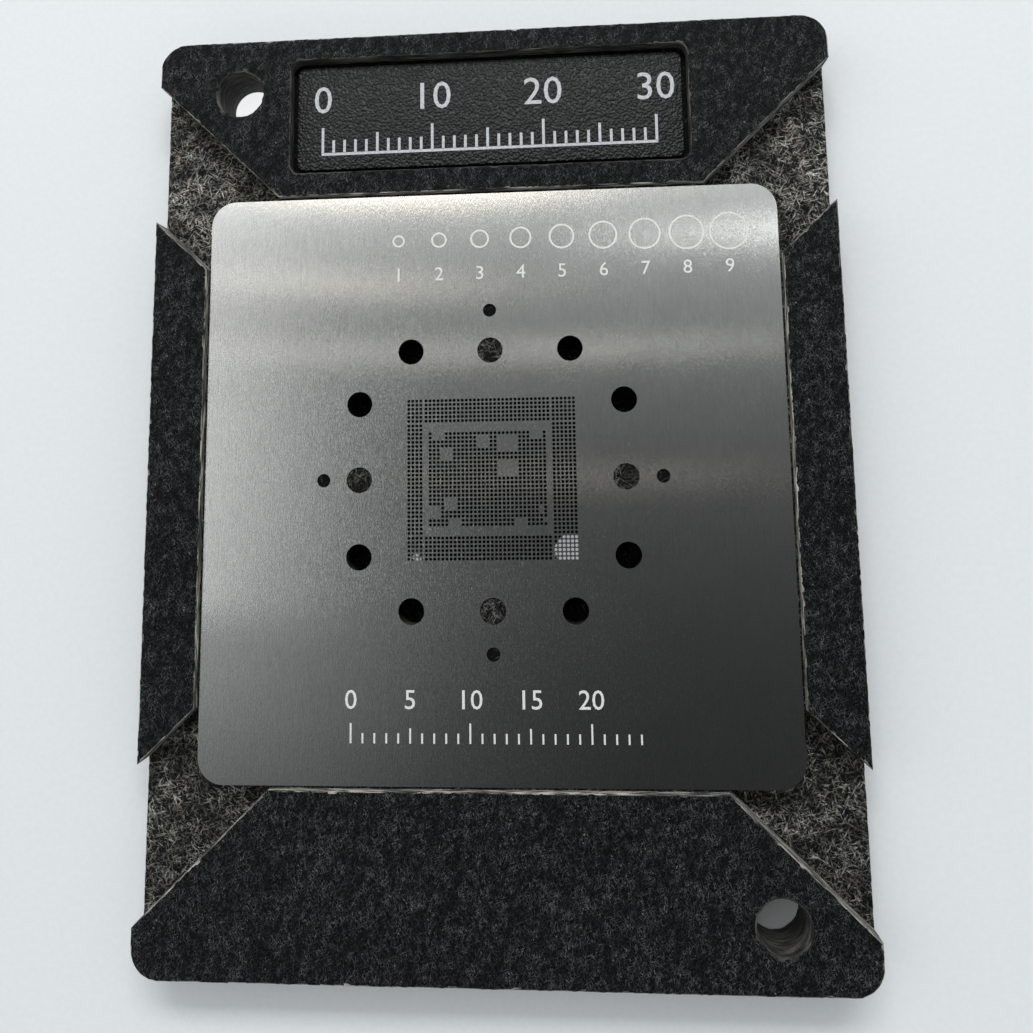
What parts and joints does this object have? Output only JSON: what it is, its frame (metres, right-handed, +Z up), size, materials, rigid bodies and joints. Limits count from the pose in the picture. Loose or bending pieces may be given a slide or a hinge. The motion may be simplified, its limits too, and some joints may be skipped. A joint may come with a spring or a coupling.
{
  "type": "solder paste stencil",
  "caption": "Square etched steel stencil sheet lying in the magnetic pocket of a black fibre composite positioning plate, with a film strip at one end.",
  "frame": {"origin": "middle of the plate's underside", "axes": "+X across the plate, +Y along it towards the film strip, +Z up out of the stencil sheet"},
  "size_m": [0.06, 0.08, 0.004],
  "materials": {
    "black_composite": "matte pressed glass fibre composite with pale chopped fibres, machined floors rougher and lighter",
    "sheet_steel": "brushed along the plate, with etched edges",
    "film_black": "pebbled black film",
    "magnet_nickel": "bright nickel plate, slightly worn"
  },
  "bodies": {
    "root": {"base_plate": "black_composite", "stencil_sheet": "sheet_steel", "nameplate_film": "film_black", "magnet_1": "magnet_nickel", "magnet_2": "magnet_nickel", "magnet_3": "magnet_nickel", "magnet_4": "magnet_nickel", "magnet_5": "magnet_nickel", "magnet_6": "magnet_nickel", "magnet_7": "magnet_nickel", "magnet_8": "magnet_nickel"}
  },
  "joints": []
}
